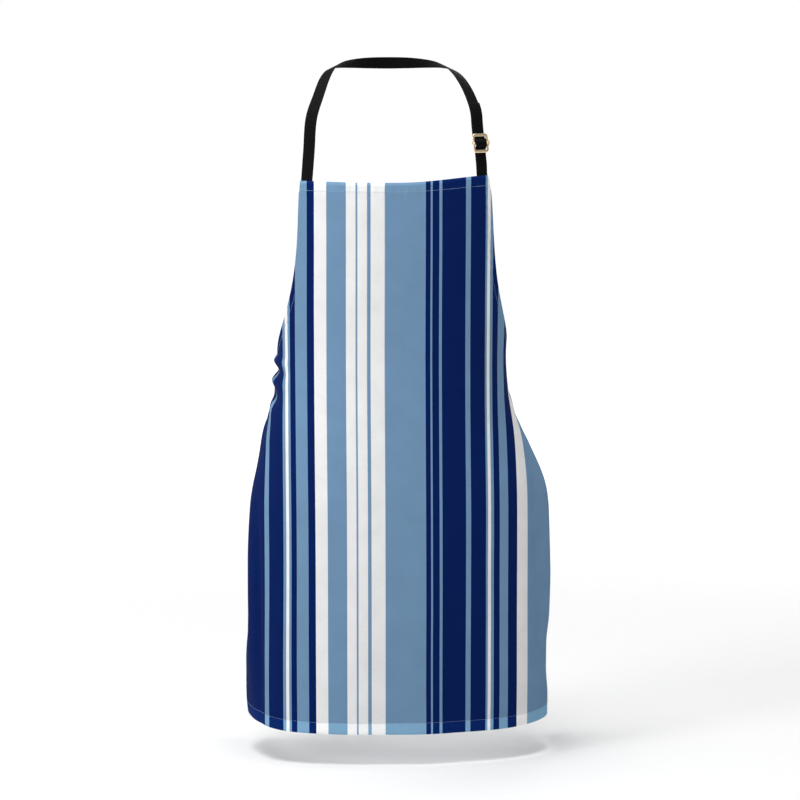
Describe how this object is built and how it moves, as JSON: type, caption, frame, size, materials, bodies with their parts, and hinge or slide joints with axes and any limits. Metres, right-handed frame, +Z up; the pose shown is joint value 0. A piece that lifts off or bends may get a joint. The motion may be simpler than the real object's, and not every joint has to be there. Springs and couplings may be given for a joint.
{
  "type": "butcher apron",
  "caption": "Adult bib apron in striped printed cloth, worn shape, with webbing neck strap, metal strap slider and waist ties knotted in a bow behind.",
  "frame": {"origin": "middle of the neck strap at the nape of the wearer's neck, on the strap's inner face", "axes": "+Z up, front of the apron towards -Y, +X towards the wearer's left, the side of the slider"},
  "size_m": [0.4268, 0.2443, 0.9432],
  "materials": {
    "print": "printed twill in navy, light blue and white stripes",
    "webbing": "black ribbed webbing",
    "thread": "pale blue sewing thread",
    "black_thread": "black sewing thread",
    "metal": "polished pale gold plating",
    "label": "white satin ribbon, blank"
  },
  "bodies": {
    "apron": {"body_panel": "print", "bib_hem": "print", "bottom_hem": "print", "armhole_hem_left": "print", "armhole_hem_right": "print", "side_hem_left": "print", "side_hem_right": "print", "bib_hem_stitching": "thread", "bottom_hem_stitching": "thread", "armhole_stitching_left": "thread", "armhole_stitching_right": "thread", "side_stitching_left": "thread", "side_stitching_right": "thread", "neck_strap": "webbing", "neck_strap_run": "webbing", "lower_strap": "webbing", "lower_strap_tail": "webbing", "neck_box_stitch_left": "black_thread", "neck_box_stitch_right": "black_thread", "waist_tie_left": "webbing", "waist_tie_right": "webbing", "tie_box_stitch_left": "black_thread", "tie_box_stitch_right": "black_thread", "bow_knot": "webbing", "bow_loop_left": "webbing", "bow_loop_right": "webbing", "care_label": "label"},
    "strap_carriage": {"neck_strap_fold": "webbing", "fold_stitch": "black_thread", "strap_weave": "webbing"},
    "slider": {"slider_frame": "metal", "slider_crossbar": "metal"},
    "tail_left": {"tie_tail_left": "webbing", "tail_tip_left": "webbing"},
    "tail_right": {"tie_tail_right": "webbing", "tail_tip_right": "webbing"}
  },
  "joints": [
    {"name": "strap_adjust", "type": "slide", "parent": "apron", "child": "strap_carriage", "axis": [-0.0853, 0.1605, 0.9833], "range_m": [-0.03, 0.028], "deforming": ["lower_strap", "lower_strap_tail", "neck_strap_run"]},
    {"name": "slider_rock", "type": "hinge", "parent": "strap_carriage", "child": "slider", "pos_m": [0.11771, -0.15493, -0.10826], "axis": [0.9311, 0.3642, 0.0213], "range_deg": [-6, 6]},
    {"name": "tail_swing_left", "type": "hinge", "parent": "apron", "child": "tail_left", "pos_m": [0.01, 0.03244, -0.44189], "axis": [1, 0, 0], "range_deg": [0, 75]},
    {"name": "tail_swing_right", "type": "hinge", "parent": "apron", "child": "tail_right", "pos_m": [-0.01, 0.03244, -0.44189], "axis": [1, 0, 0], "range_deg": [0, 75]}
  ]
}
